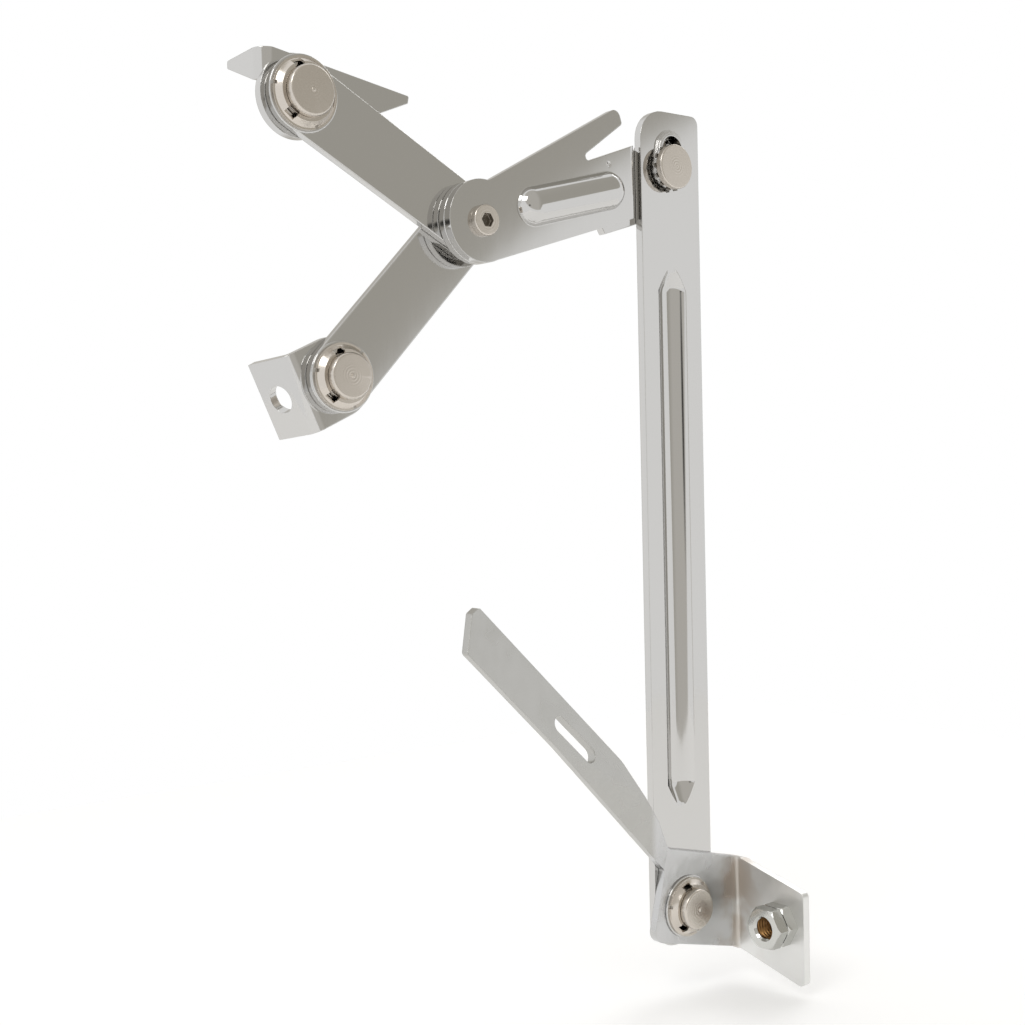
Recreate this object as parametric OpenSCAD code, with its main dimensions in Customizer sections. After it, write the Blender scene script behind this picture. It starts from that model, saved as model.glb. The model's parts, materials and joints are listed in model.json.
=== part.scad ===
// Folding hood support: two links, a hooked arm and a long strut between three brackets.
// Origin: on the weld nut's axis, in the plane of the base flange's seating face.
// +X is out of the base flange, +Y is away from the clips' side, +Z is up the strut.

/* [Sheet] */
// Thickness of every pressed plate
sheet_t = 2.8; // [2:0.1:4]
// Clearance between two plates that turn on each other
layer_gap = 0.15; // [0.1:0.05:0.3]
// Inside radius of the folds
bend_r = 1.4; // [0.8:0.1:2.5]
// Facets in a fold that isn't square
bend_steps = 12; // [6:1:16]

/* [Strut] */
// Height of the top pivot above the base pivot
strut_h = 250; // [200:1:320]
// Width of the strut
strut_w = 27; // [24:0.5:36]
// How far the strut's middle line lies to the right of its pivots
strut_offset = 1.2; // [0:0.1:2]
// How far the strut reaches past its top pivot
strut_top = 18.8; // [16:0.1:24]
// How far the strut reaches past its base pivot
strut_tail = 13.4; // [10:0.1:16]
// Width of the pressed bead
bead_w = 13; // [8:0.5:16]
// Depth of the pressed bead
bead_depth = 3.4; // [1.5:0.1:5]
// Height of the bead's lower tip above the base pivot
bead_from = 33.5; // [28:0.5:60]
// Distance of the bead's upper tip below the top pivot
bead_below = 33; // [28:0.5:60]
// Length over which each end of the bead runs out
bead_run_out = 8; // [5:0.5:14]
// Width of the slot in which the top pin slides
slot_w = 8.9; // [7:0.1:11]
// Travel of the top pin in its slot
slot_travel = 6.4; // [3:0.1:9]
// Lean of the slot to the right of the strut
slot_lean = 10; // [0:1:14]
// Height of the raised collar round the slot
collar_h = 1.4; // [0.6:0.1:2.5]
// Width of the collar's foot outside the slot
collar_w = 2; // [1:0.1:3]

/* [Hooked arm] */
// Centre pivot, to the left of the strut's pivots
centre_x = 78.8; // [65:0.1:95]
// Centre pivot, below the top pivot
centre_drop = 24; // [10:0.5:35]
// Radius of the round end at the centre pivot
centre_end_r = 12.7; // [11:0.1:16]
// Half height of the arm below its middle line
arm_half = 12.6; // [9:0.1:15]
// Height of the arm's upper edge above its middle line
arm_up = 9.2; // [7:0.1:11]
// Clear gap between the hook plate's end and the strut's edge
stop_gap = 1.8; // [1.5:0.1:4]
// Distance of the hook's throat from the centre pivot
throat_u = 47.3; // [42:0.1:50]
// Width of the throat where it ends
throat_w = 2.2; // [1.5:0.1:4]
// Distance of the hook's tip from the centre pivot
tip_u = 66.4; // [58:0.1:68]
// Height of the tip's lower corner above the arm's middle line
tip_low = 17.7; // [14:0.1:20]
// Height of the tip's upper corner above the arm's middle line
tip_high = 23.4; // [20:0.1:28]
// Width of the raised rib
rib_w = 12.4; // [8:0.1:14]
// Height of the raised rib
rib_h = 4.6; // [2:0.1:5.5]
// Distance of the rib's left end from the centre pivot
rib_from = 14.6; // [12:0.1:20]
// Distance of the rib's right end from the centre pivot
rib_to = 60; // [50:0.1:60]
// Lean of the rib below the arm's middle line
rib_lean = 3; // [0:0.5:5]
// Distance of the stop tab's left end from the centre pivot
tab_from = 49.5; // [44:0.1:56]
// How far the stop tab reaches below the arm
tab_drop = 2.4; // [1:0.1:3]
// Radius of the rear plate's end at the top pivot
arm_end_r = 12; // [10:0.1:12.5]

/* [Links] */
// Width of both links
link_w = 21; // [17:0.5:24]
// Upper pivot, to the left of the centre pivot
upper_dx = 58.9; // [50:0.1:75]
// Upper pivot, above the centre pivot
upper_dz = 31.6; // [20:0.1:45]
// Lower pivot, to the left of the centre pivot
lower_dx = 46.5; // [38:0.1:60]
// Lower pivot, below the centre pivot
lower_dz = 47.8; // [38:0.1:60]

/* [Upper bracket] */
// Radius of the upper bracket's round end
upper_end_r = 12; // [11:0.1:14]
// Height of the fold's upper end above the pivot
upper_fold_top = 12.7; // [11:0.1:15]
// Height of the fold's lower end above the pivot
upper_fold_low = 3.8; // [2:0.1:6]
// Reach of the tail to the right of the pivot
tail_reach = 38.5; // [28:0.5:42]
// Height of the tail's blunt end above the pivot
tail_rise = 5; // [3:0.1:8]
// Height of the tail's blunt end
tail_tip_h = 2.2; // [1.5:0.1:4]
// Length of the upper bracket's flange
upper_flange = 19; // [12:0.5:26]
// Height of the flange's narrow end
upper_flange_tip = 2.2; // [1.5:0.1:5]

/* [Lower bracket] */
// Width of the lower bracket
lower_w = 24; // [22.5:0.5:30]
// Lean of the lower bracket to the left
lower_lean = 24.2; // [0:0.1:40]
// Distance from the pivot to the outside of the fold
lower_fold = 13.1; // [12.5:0.1:18]
// Length of the lower bracket's flange, from the sharp outside of its fold
lower_flange = 16.4; // [16:0.1:24]
// Angle through which the flange is folded
lower_bend = 77; // [60:1:90]
// Bolt hole in the flange
lower_hole_d = 8.4; // [5:0.1:9]
// Distance from the sharp outside of the fold to the hole
lower_hole_at = 9; // [8.8:0.1:10]

/* [Base bracket] */
// Height of the strip that the base bracket is cut from
strip_h = 31.1; // [28:0.1:40]
// Height of the strip's upper edge above the pivot, square to the strip
strip_up = 18.3; // [16:0.1:22]
// Slope of the strip below level
strip_slope = 14; // [5:0.5:20]
// Distance from the base pivot to the strip's left end
strip_left = 13.4; // [12.5:0.1:16]
// Distance from the base pivot to the base flange's inner face
flange_x = 24.5; // [20:0.1:30]
// Distance from the strut's front face to the base flange's free edge
flange_reach = 33; // [29:0.5:42]
// Corner radius at the strip's lower left
strip_corner = 4; // [1:0.5:8]

/* [Strap] */
// Height of the strap's lower root corner above the pivot, square to the strip
strap_root = 11.1; // [8:0.1:13]
// Climb of the strap above the strip's direction
strap_climb = 30; // [20:0.5:45]
// Width of the strap, seen square to the strip
strap_w = 15.5; // [12:0.1:20]
// Length of the strap's lower edge
strap_len = 117.3; // [100:0.1:150]
// How much longer the strap is at its upper edge
strap_skew = 4.3; // [0:0.1:8]
// Where the strap's upper edge starts to flare out towards the strip
flare_at = 41; // [30:1:50]
// Width of the flare beside the strip
flare_w = 7.2; // [4:0.1:12]
// Height of the flare above the strip
flare_h = 8.9; // [4:0.1:12]
// Angle of the first fold, towards the clips' side
root_fold = 5; // [0:0.5:12]
// Distance along the lower edge to the diagonal crease
crease_at = 72; // [60:0.5:80]
// Angle between the crease and the lower edge
crease_angle = 15; // [12:0.5:22]
// Angle of the crease, away from the clips' side
crease_fold = 17.6; // [5:0.1:25]
// Width of the strap's slot
strap_slot_w = 5.5; // [4:0.1:7]
// Length of the strap's slot
strap_slot_len = 22; // [14:0.5:30]
// Distance from the strap's root to the middle of its slot
strap_slot_at = 64.5; // [55:0.5:75]

/* [Weld nut] */
// Width across the nut's flats
nut_af = 13; // [11:0.5:16]
// Length of the outer hexagon
nut_hex = 4.9; // [3:0.1:8]
// Length of the second hexagon, next to the flange
nut_collar = 4.5; // [2:0.1:6]
// Thread bore
nut_bore = 6.8; // [5:0.1:8]
// Pilot by which the nut is set through the base flange
pilot_d = 10; // [9:0.1:11]
// Distance from the strut's front face to the nut's axis
nut_y = 23.2; // [20:0.1:26]
// Height of the nut's axis above the base pivot, less than zero when below
nut_z = -6.5; // [-10:0.5:-3]

/* [Pins and clips] */
// Diameter of the base and lower pins
pin_d = 13.6; // [10:0.1:14.5]
// Diameter of the upper pin
upper_pin_d = 14.6; // [10:0.1:15.5]
// Running clearance of a pin in its bore, on the radius
pin_clear = 0.05; // [0.02:0.01:0.1]
// How far a pin stands in front of the plates
pin_proud = 6; // [4.5:0.1:8]
// Depth of the groove for the clip
groove_deep = 0.7; // [0.3:0.1:1]
// Width of the clip's dished ring outside the pin
clip_ring = 3.1; // [2:0.1:4]
// Height of the dished clip
clip_h = 2.5; // [1.5:0.1:3]
// Thickness of the clip's sheet
clip_t = 0.7; // [0.4:0.1:1]
// Thickness of the flat washer under the clip
washer_t = 0.8; // [0.5:0.1:1.2]
// How far the washer reaches outside the clip
washer_over = 0.7; // [0.3:0.1:1.2]
// How far a pin's rear head reaches outside the pin
head_over = 1.5; // [1:0.1:1.6]
// Thickness of a pin's rear head
head_t = 2.8; // [2:0.1:4]
// Diameter of the top pin's head
top_head_d = 14.8; // [13:0.1:18]
// Thickness of the top pin's head
top_head_t = 2.4; // [1.5:0.1:4]
// Thickness of the toothed lock washer
lock_t = 0.7; // [0.5:0.1:1]
// Teeth on the lock washer
lock_teeth = 14; // [8:1:20]

/* [Centre screw] */
// Thread and shank of the centre screw
screw_d = 6; // [5:0.1:7]
// Head of the centre screw
screw_head_d = 9.6; // [8:0.1:12]
// Height of the screw's head
screw_head_h = 2.2; // [1.5:0.1:4]
// Hexagon socket across its flats
socket_af = 4; // [3:0.1:5]
// Outside of the bush on which the links turn
bush_d = 10; // [8.5:0.1:12]

/* [Hidden] */

$fn = 64;
eps = 0.01;
plating = 0.002;
far = 400;
root3 = sqrt(3);

// Each plate lies one layer behind the last, counted from the strut's front face
layer = sheet_t + layer_gap;
base_front = -layer;
rear_plate_y = layer;
upper_link_y = 2 * layer;
lower_link_y = 3 * layer;
upper_bracket_y = 3 * layer;
lower_bracket_y = 4 * layer;

// Pivots, from the base pivot, in the strut's plane
top_pivot = [0, strut_h];
centre_pivot = [-centre_x, strut_h - centre_drop];
upper_pivot = centre_pivot + [-upper_dx, upper_dz];
lower_pivot = centre_pivot + [-lower_dx, -lower_dz];
base_pivot = [-(flange_x + sheet_t), nut_y, -nut_z];

arm_len = norm(top_pivot - centre_pivot);
arm_tilt = atan2(centre_drop, centre_x);
strut_left = strut_offset - strut_w / 2;
hook_end_x = strut_left - stop_gap;
bore_over = 2 * pin_clear;
bend_out = bend_r + sheet_t;

function unit(v) = v / norm(v);
function polar(r, a) = r * [cos(a), sin(a)];

// Points of one corner: sharp, or an arc of radius r between its two sides
function corner(a, b, c, r, n = 8) =
    r <= 0 ? [b] :
    let (to_a = unit(a - b), to_c = unit(c - b),
         half = acos(max(-1, min(1, to_a * to_c))) / 2,
         mid = b + unit(to_a + to_c) * r / sin(half),
         start = b + to_a * r / tan(half) - mid,
         stop = b + to_c * r / tan(half) - mid,
         from = atan2(start[1], start[0]),
         turn = (atan2(stop[1], stop[0]) - from + 540) % 360 - 180)
    [for (i = [0 : n]) mid + polar(r, from + turn * i / n)];

// An outline of [x, z, corner radius] rows as polygon points
function rounded(rows) =
    let (n = len(rows), at = [for (p = rows) [p[0], p[1]]])
    [for (i = [0 : n - 1])
        each corner(at[(i + n - 1) % n], at[i], at[(i + 1) % n], rows[i][2])];

// A flat plate whose outline is drawn in X and Z, with its front face at y
module plate(y, t = sheet_t) {
    translate([0, y + t, 0]) rotate([90, 0, 0]) linear_extrude(t) children();
}

// A round bar along Y through the point at, between two depths
module bar_y(at, d, from, to) {
    translate([at[0], to, at[1]]) rotate([90, 0, 0]) cylinder(d = d, h = to - from);
}

// Puts a piece that is drawn about the base pivot into the object's frame
module placed() {
    translate(base_pivot) children();
}

// Draws along the arm: x from the centre pivot towards the top pivot
module along_arm() {
    translate([centre_pivot[0], 0, centre_pivot[1]]) rotate([0, -arm_tilt, 0]) children();
}

// A flat bar between two pivots with round ends, bored for both
module link(a, b, y, bore_a, bore_b) {
    run = b - a;
    len = norm(run);
    translate([a[0], 0, a[1]]) rotate([0, -atan2(run[1], run[0]), 0]) difference() {
        plate(y) {
            circle(d = link_w);
            translate([len, 0]) circle(d = link_w);
            translate([0, -link_w / 2]) square([len, link_w]);
        }
        bar_y([0, 0], bore_a, y - 1, y + layer);
        bar_y([len, 0], bore_b, y - 1, y + layer);
    }
}

// A headed pin at a pivot: front is the first plate's face, back the last plate's face
module headed_pin(at, d, front, back) {
    chamfer = 0.7;
    tip = front - pin_proud;
    groove_y = front - washer_t - clip_h;
    nib_d = 1.2;
    difference() {
        union() {
            translate([at[0], tip, at[1]]) rotate([-90, 0, 0])
                cylinder(d1 = d - 2 * chamfer, d2 = d, h = chamfer);
            bar_y(at, d, tip + chamfer, back + layer_gap + eps);
            bar_y(at, d + 2 * head_over, back + layer_gap, back + layer_gap + head_t - chamfer);
            translate([at[0], back + layer_gap + head_t - chamfer, at[1]]) rotate([-90, 0, 0])
                cylinder(d1 = d + 2 * head_over, d2 = d + 2 * head_over - 2 * chamfer, h = chamfer);
            bar_y(at, nib_d, tip - 0.3, tip + eps);
        }
        difference() {
            bar_y(at, d + 1, groove_y - layer_gap, groove_y + clip_t + layer_gap);
            bar_y(at, d - 2 * groove_deep, groove_y - 1, groove_y + 2);
        }
    }
}

// A flat washer under a clip
module clip_washer(at, d, front) {
    difference() {
        bar_y(at, d + 2 * (clip_ring + washer_over), front - washer_t, front);
        bar_y(at, d + bore_over, front - washer_t - 1, front + 1);
    }
}

// A dished ring that snaps into the pin's groove, with three windows and three notches
module dished_clip(at, d, front) {
    seat = front - washer_t;
    inner = d / 2 - groove_deep + pin_clear;
    outer = d / 2 + clip_ring;
    shoulder = d / 2 + 1.1;
    window_w = 3.4;
    window_in = d / 2 - groove_deep - 0.2;
    window_len = 2.2;
    notch_w = 1.1;
    translate([at[0], seat, at[1]]) rotate([90, 0, 0]) difference() {
        rotate_extrude() polygon([[inner, clip_h - clip_t], [inner, clip_h], [shoulder, clip_h],
            [shoulder + 0.7, clip_h - 1], [outer - 0.6, clip_t], [outer, clip_t], [outer, 0],
            [outer - 0.9, 0], [shoulder + 0.1, clip_h - 1.3], [shoulder - 0.4, clip_h - clip_t]]);
        for (i = [0 : 2]) {
            rotate(i * 120 + 110) translate([window_in, -window_w / 2, 0.9])
                cube([window_len + groove_deep, window_w, clip_h]);
            rotate(i * 120 + 170) translate([outer - 1, -notch_w / 2, -1])
                cube([2, notch_w, clip_h]);
        }
    }
}

// A spindle along Z for a pressed bead: full radius r, cones of the given slope at both ends
module spindle(r, low, high, slope) {
    rotate_extrude() polygon([[0, low - r / slope], [r, low], [r, high], [0, high + r / slope]]);
}

// Base bracket: one sheet with a flange folded to the front and a strap folded at two lines
module base_bracket() color("silver") placed() {
    plate_right = flange_x - bend_r;
    stub = bend_out;
    difference() {
        intersection() {
            union() {
                intersection() {
                    rotate([0, strip_slope, 0]) difference() {
                        up_to_surface(sheet_t - plating);
                        up_to_surface(plating);
                    }
                    translate([plate_right - stub / 2 - far, -far / 2, -far / 2]) cube(far);
                }
                base_flange(plate_right, stub);
            }
            rotate([0, strip_slope, 0]) plate(-far / 8, far / 4) strip_outline();
        }
        rotate([0, strip_slope, 0]) strap_slot();
        bar_y([0, 0], pin_d + bore_over, base_front - 1, 1);
        translate([flange_x - 1, -nut_y, nut_z]) rotate([0, 90, 0])
            cylinder(d = pilot_d + bore_over, h = sheet_t + 2);
    }
}

// The fold and the flange, whose edges go on falling by the strip's slope towards the front
module base_flange(plate_right, stub) {
    fall = tan(strip_slope);
    fold_end = base_front - bend_r;
    drop = strip_h / cos(strip_slope);
    top = strip_up / cos(strip_slope) - fall * (flange_x + sheet_t / 2);
    free_top = top - fall * (fold_end + flange_reach);
    corner_r = 2;
    intersection() {
        union() {
            translate([plate_right - stub, base_front, -far / 4]) cube([stub, sheet_t, far / 2]);
            translate([plate_right, fold_end, -far / 4])
                rotate_extrude(angle = 90) translate([bend_r, 0]) square([sheet_t, far / 2]);
            translate([flange_x, -flange_reach, -far / 4])
                cube([sheet_t, flange_reach + fold_end, far / 2]);
        }
        rotate([90, 0, 90]) linear_extrude(far / 8) polygon(rounded([
            [fold_end, top, 0], [fold_end, far / 8, 0], [far / 8, far / 8, 0],
            [far / 8, top - drop, 0], [fold_end, top - drop, 0],
            [-flange_reach, free_top - drop, corner_r], [-flange_reach, free_top, corner_r]]));
    }
}

// Corners of the strap in the strip's own frame: x along the strip, z square to it
strap_root_at = [-strip_left, strap_root];
strap_along = [-cos(strap_climb), sin(strap_climb)];
strap_across = [sin(strap_climb), cos(strap_climb)];
crease_run = [cos(strap_climb - crease_angle), -sin(strap_climb - crease_angle)];
crease_low = strap_root_at + strap_along * crease_at;
function on_strap(d, w) = strap_root_at + strap_along * d + strap_across * w;
function row(p, r) = [p[0], p[1], r];

// The whole sheet's outline, seen square to the strip
module strip_outline() {
    tip_chamfer = 3.8;
    flare_start = on_strap(flare_at, strap_w);
    low = strip_up - strip_h;
    fold_low = [(flange_x - 0.5 - low * sin(strip_slope)) / cos(strip_slope), low];
    below = fold_low + 20 * [sin(strip_slope), -cos(strip_slope)];
    polygon(rounded([
        [far / 8, strip_up, 0], [far / 8, below[1], 0], row(below, 0), row(fold_low, 0),
        [-strip_left, low, strip_corner],
        row(strap_root_at, 1.2),
        row(on_strap(strap_len, 0), 1),
        row(on_strap(strap_len + strap_skew, strap_w - tip_chamfer), 1.5),
        row(on_strap(strap_len + strap_skew - 1.5, strap_w), 1.5),
        row(flare_start, 20),
        [-strip_left - flare_w, strip_up + flare_h, 14],
        [-strip_left, strip_up, 3]]));
}

// Everything in front of the folded sheet's face that lies at this depth in the sheet
module up_to_surface(depth) {
    intersection() {
        half_space(depth);
        web_frame() half_space(depth);
    }
    intersection() {
        strap_frame() half_space(depth);
        translate([-strip_left - far, -far / 2, -far / 2]) cube(far);
    }
}

module half_space(depth) {
    translate([-far / 2, base_front + depth - far, -far / 2]) cube(far);
}

// Turned about the first fold, just past the strip's left end
module web_frame() {
    fold_x = -strip_left - 0.6;
    translate([fold_x, base_front, 0]) rotate(root_fold)
        translate([-fold_x, -base_front, 0]) children();
}

// Turned about the diagonal crease as well
module strap_frame() {
    web_frame() translate([crease_low[0], base_front, crease_low[1]])
        rotate(a = -crease_fold, v = [crease_run[0], 0, crease_run[1]])
            translate([-crease_low[0], -base_front, -crease_low[1]]) children();
}

module strap_slot() {
    between = strap_slot_len - strap_slot_w;
    slot_mid = on_strap(strap_slot_at, strap_w / 2);
    strap_frame() translate([slot_mid[0], 0, slot_mid[1]]) rotate([0, strap_climb, 0]) {
        bar_y([-between / 2, 0], strap_slot_w, base_front - 1, base_front + layer + 1);
        bar_y([between / 2, 0], strap_slot_w, base_front - 1, base_front + layer + 1);
        translate([-between / 2, base_front - 1, -strap_slot_w / 2])
            cube([between, layer + 2, strap_slot_w]);
    }
}

// Weld nut: two chamfered hexagons with a groove between, and a pilot through the base flange
module weld_nut() color("gainsboro") placed() {
    chamfer_d = nut_af + 0.9;
    corner_d = 2 * nut_af / root3;
    groove_w = 0.5;
    sink_d = nut_bore + 1.6;
    translate([flange_x, -nut_y, nut_z]) rotate([0, -90, 0]) difference() {
        union() {
            intersection() {
                rotate(30) cylinder(d = corner_d, h = nut_collar, $fn = 6);
                cylinder(d1 = chamfer_d + 2 * nut_collar, d2 = chamfer_d - 0.6, h = nut_collar);
            }
            cylinder(d = nut_af - 1.6, h = nut_collar + groove_w + eps);
            translate([0, 0, -sheet_t]) cylinder(d = pilot_d, h = sheet_t + eps);
            translate([0, 0, nut_collar + groove_w]) intersection() {
                rotate(30) cylinder(d = corner_d, h = nut_hex - groove_w, $fn = 6);
                cylinder(d1 = chamfer_d + 2 * nut_hex, d2 = chamfer_d - 0.6, h = nut_hex - groove_w);
            }
        }
        translate([0, 0, -sheet_t - 1])
            cylinder(d = nut_bore, h = sheet_t + nut_hex + nut_collar + 2);
        translate([0, 0, nut_hex + nut_collar - 0.8])
            cylinder(d1 = nut_bore, d2 = sink_d, h = 0.8 + eps);
    }
}

module base_pin() color("tan") placed() headed_pin([0, 0], pin_d, base_front, sheet_t);
module base_pin_washer() color("lightgray") placed() clip_washer([0, 0], pin_d, base_front);
module base_pin_clip() color("wheat") placed() dished_clip([0, 0], pin_d, base_front);

// Long strut: a flat bar with a pressed bead, a collared slot at the top and the base bore
module long_strut() color("gainsboro") placed() {
    bead_r = (pow(bead_w / 2, 2) + pow(bead_depth, 2)) / (2 * bead_depth);
    slope = bead_depth / bead_run_out;
    skin = sheet_t * norm([1, slope]);
    low = bead_from + bead_run_out;
    high = strut_h - bead_below - bead_run_out;
    shift = (skin - sheet_t) / slope;
    left = strut_left;
    right = strut_left + strut_w;
    difference() {
        union() {
            plate(0) polygon(rounded([[left, -strut_tail, 9], [right, -strut_tail, 9],
                [right, strut_h + strut_top, 3], [left, strut_h + strut_top, 10]]));
            intersection() {
                translate([strut_offset, bead_depth - bead_r, 0])
                    spindle(bead_r + sheet_t, low - shift, high + shift, slope);
                translate([left, sheet_t / 2, 0]) cube([strut_w, far, strut_h]);
            }
            slot_collar();
        }
        translate([strut_offset, bead_depth - bead_r, 0]) spindle(bead_r, low, high, slope);
        slot_bar(slot_w, -collar_h - 1, sheet_t + 1);
        bar_y([0, 0], pin_d + bore_over, -1, sheet_t + 1);
    }
}

// A bar with round ends of the given width along the slot
module slot_bar(w, from, to) {
    translate([top_pivot[0], 0, top_pivot[1]]) rotate([0, slot_lean, 0]) {
        bar_y([0, 0], w, from, to);
        bar_y([0, slot_travel], w, from, to);
        translate([-w / 2, from, 0]) cube([w, to - from, slot_travel]);
    }
}

// Raised collar round the slot, with sloping flanks
module slot_collar() {
    steps = 4;
    for (i = [1 : steps]) {
        rise = collar_h * sin(90 * i / steps);
        out = collar_w * cos(75 * (i - 1) / (steps - 1));
        slot_bar(slot_w + 2 * max(0.6, out), -rise, eps);
    }
}

module top_pin() color("tan") placed() {
    seat = -collar_h - lock_t - layer_gap;
    chamfer = 0.5;
    shank = slot_w - 2 * pin_clear;
    back = rear_plate_y + sheet_t + layer_gap;
    rear_d = slot_w + 3.6;
    translate([top_pivot[0], seat - top_head_t, top_pivot[1]]) rotate([-90, 0, 0])
        cylinder(d1 = top_head_d - 2 * chamfer, d2 = top_head_d, h = chamfer);
    bar_y(top_pivot, top_head_d, seat - top_head_t + chamfer, seat);
    bar_y(top_pivot, shank, seat - eps, back + eps);
    bar_y(top_pivot, rear_d, back, back + 1);
    translate([top_pivot[0], back + 1, top_pivot[1]]) rotate([-90, 0, 0])
        cylinder(d1 = rear_d, d2 = rear_d - 3, h = 1);
}

// External-tooth lock washer under the top pin's head
module top_lock_washer() color("dimgray") placed() {
    ring_d = top_head_d - 1.4;
    tooth_len = 1.5;
    tooth_w = 1.5;
    front = -collar_h - lock_t - layer_gap / 2;
    twist = 12;
    translate([top_pivot[0], front + lock_t / 2, top_pivot[1]]) rotate([90, 0, 0]) difference() {
        union() {
            cylinder(d = ring_d, h = lock_t, center = true);
            for (i = [0 : lock_teeth - 1])
                rotate(i * 360 / lock_teeth) translate([ring_d / 2 - 0.4, 0, 0])
                    rotate([twist, 0, 0])
                        translate([0, -tooth_w / 2, -lock_t / 2 + 0.08])
                            cube([tooth_len, tooth_w, lock_t - 0.16]);
        }
        cylinder(d = slot_w + 2 * pin_clear, h = 4, center = true);
    }
}

// Front plate of the arm: round end, hook finger, throat, raised rib and rolled right end
module hook_plate() color("silver") placed() {
    rib_r = (pow(rib_w / 2, 2) + pow(rib_h, 2)) / (2 * rib_h);
    rib_y = rib_r - rib_h;
    rib_inner = rib_r - sheet_t;
    top_slope = 0.202;
    kink_u = 7.6;
    kink_n = tip_high - (tip_u - 0.2 - kink_u) * top_slope;
    over = arm_len;
    difference() {
        union() {
            intersection() {
                along_arm() plate(0) {
                    circle(r = centre_end_r);
                    polygon(rounded([[0, -arm_half, 0], [over, -arm_half, 0],
                        [over, arm_up + 0.044 * (over - throat_u), 0], [throat_u, arm_up, throat_w / 2],
                        [throat_u, arm_up + throat_w, throat_w / 2], [tip_u, tip_low, 1],
                        [tip_u - 0.2, tip_high, 2.6], [kink_u, kink_n, 0], [0, kink_n - 1, 0]]));
                }
                rolled_end();
            }
            rib(rib_r, rib_y, -rib_h - 1, sheet_t / 2);
        }
        rib(rib_inner, rib_y, -rib_h - 1, sheet_t + 1);
        bar_y(centre_pivot, screw_d + bore_over, -1, sheet_t + 1);
    }
}

// Plan outline that rounds the front of the hook plate's right end
module rolled_end() {
    roll = sheet_t;
    translate([0, 0, strut_h - far / 2]) linear_extrude(far) {
        translate([hook_end_x - far, 0]) square([far - roll, sheet_t]);
        intersection() {
            translate([hook_end_x - roll, roll]) circle(r = roll);
            translate([hook_end_x - roll - eps, 0]) square([roll + eps, roll]);
        }
    }
}

// The rib: a bar with ball ends, kept between two depths
module rib(r, y, from, to) {
    foot = rib_w / 2;
    intersection() {
        along_arm() translate([rib_from + foot, y, 0]) rotate([0, rib_lean, 0]) {
            rotate([0, 90, 0]) cylinder(r = r, h = rib_to - rib_from - rib_w);
            sphere(r = r);
            translate([rib_to - rib_from - rib_w, 0, 0]) sphere(r = r);
        }
        translate([-far, from, 0]) cube([far, to - from, far]);
    }
}

// Rear plate of the arm: carries the load from the centre pivot to the top pin
module arm_plate() color("silver") placed() {
    tab_low = -arm_half - tab_drop;
    rear_up = arm_up - 0.4;
    difference() {
        along_arm() plate(rear_plate_y) {
            circle(r = centre_end_r);
            translate([arm_len, 0]) circle(r = arm_end_r);
            polygon(rounded([[0, -arm_half, 0], [tab_from, -arm_half, 0.6],
                [tab_from + 0.6, tab_low, 0.6], [arm_len - 5, tab_low, 5], [arm_len + 8, -6, 0],
                [arm_len, rear_up, 0], [0, rear_up, 0]]));
        }
        bar_y(centre_pivot, screw_d + bore_over, rear_plate_y - 1, 2 * layer + 1);
        bar_y(top_pivot, slot_w, rear_plate_y - 1, 2 * layer + 1);
    }
}

// Socket screw through the whole stack at the centre pivot
module centre_screw() color("tan") placed() {
    chamfer = 0.5;
    nut_end = lower_bracket_y + 6;
    difference() {
        union() {
            translate([centre_pivot[0], -screw_head_h, centre_pivot[1]]) rotate([-90, 0, 0])
                cylinder(d1 = screw_head_d - 2 * chamfer, d2 = screw_head_d, h = chamfer);
            bar_y(centre_pivot, screw_head_d, chamfer - screw_head_h, 0);
            bar_y(centre_pivot, screw_d, -eps, nut_end);
        }
        translate([centre_pivot[0], -screw_head_h - 1, centre_pivot[1]]) rotate([-90, 0, 0])
            cylinder(d = 2 * socket_af / root3, h = 2.6, $fn = 6);
    }
}

// Bush on which both links turn
module centre_bush() color("darkkhaki") placed() difference() {
    bar_y(centre_pivot, bush_d, rear_plate_y + sheet_t, lower_bracket_y);
    bar_y(centre_pivot, screw_d + bore_over, 0, lower_bracket_y + 1);
}

// Nut that closes the centre pivot at the back
module centre_nut() color("gainsboro") placed() {
    af = bush_d + 1;
    h = 4.8;
    translate([centre_pivot[0], lower_bracket_y, centre_pivot[1]]) rotate([-90, 0, 0]) difference() {
        intersection() {
            cylinder(d = 2 * af / root3, h = h, $fn = 6);
            cylinder(d1 = af + 2 * h, d2 = af + 0.2, h = h);
        }
        translate([0, 0, -1]) cylinder(d = screw_d + bore_over, h = h + 2);
    }
}

module upper_link() color("silver") placed()
    link(upper_pivot, centre_pivot, upper_link_y, upper_pin_d + bore_over, bush_d + bore_over);
module upper_pin() color("tan") placed()
    headed_pin(upper_pivot, upper_pin_d, upper_link_y, upper_bracket_y + sheet_t);
module upper_pin_washer() color("lightgray") placed()
    clip_washer(upper_pivot, upper_pin_d, upper_link_y);
module upper_pin_clip() color("wheat") placed()
    dished_clip(upper_pivot, upper_pin_d, upper_link_y);

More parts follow.
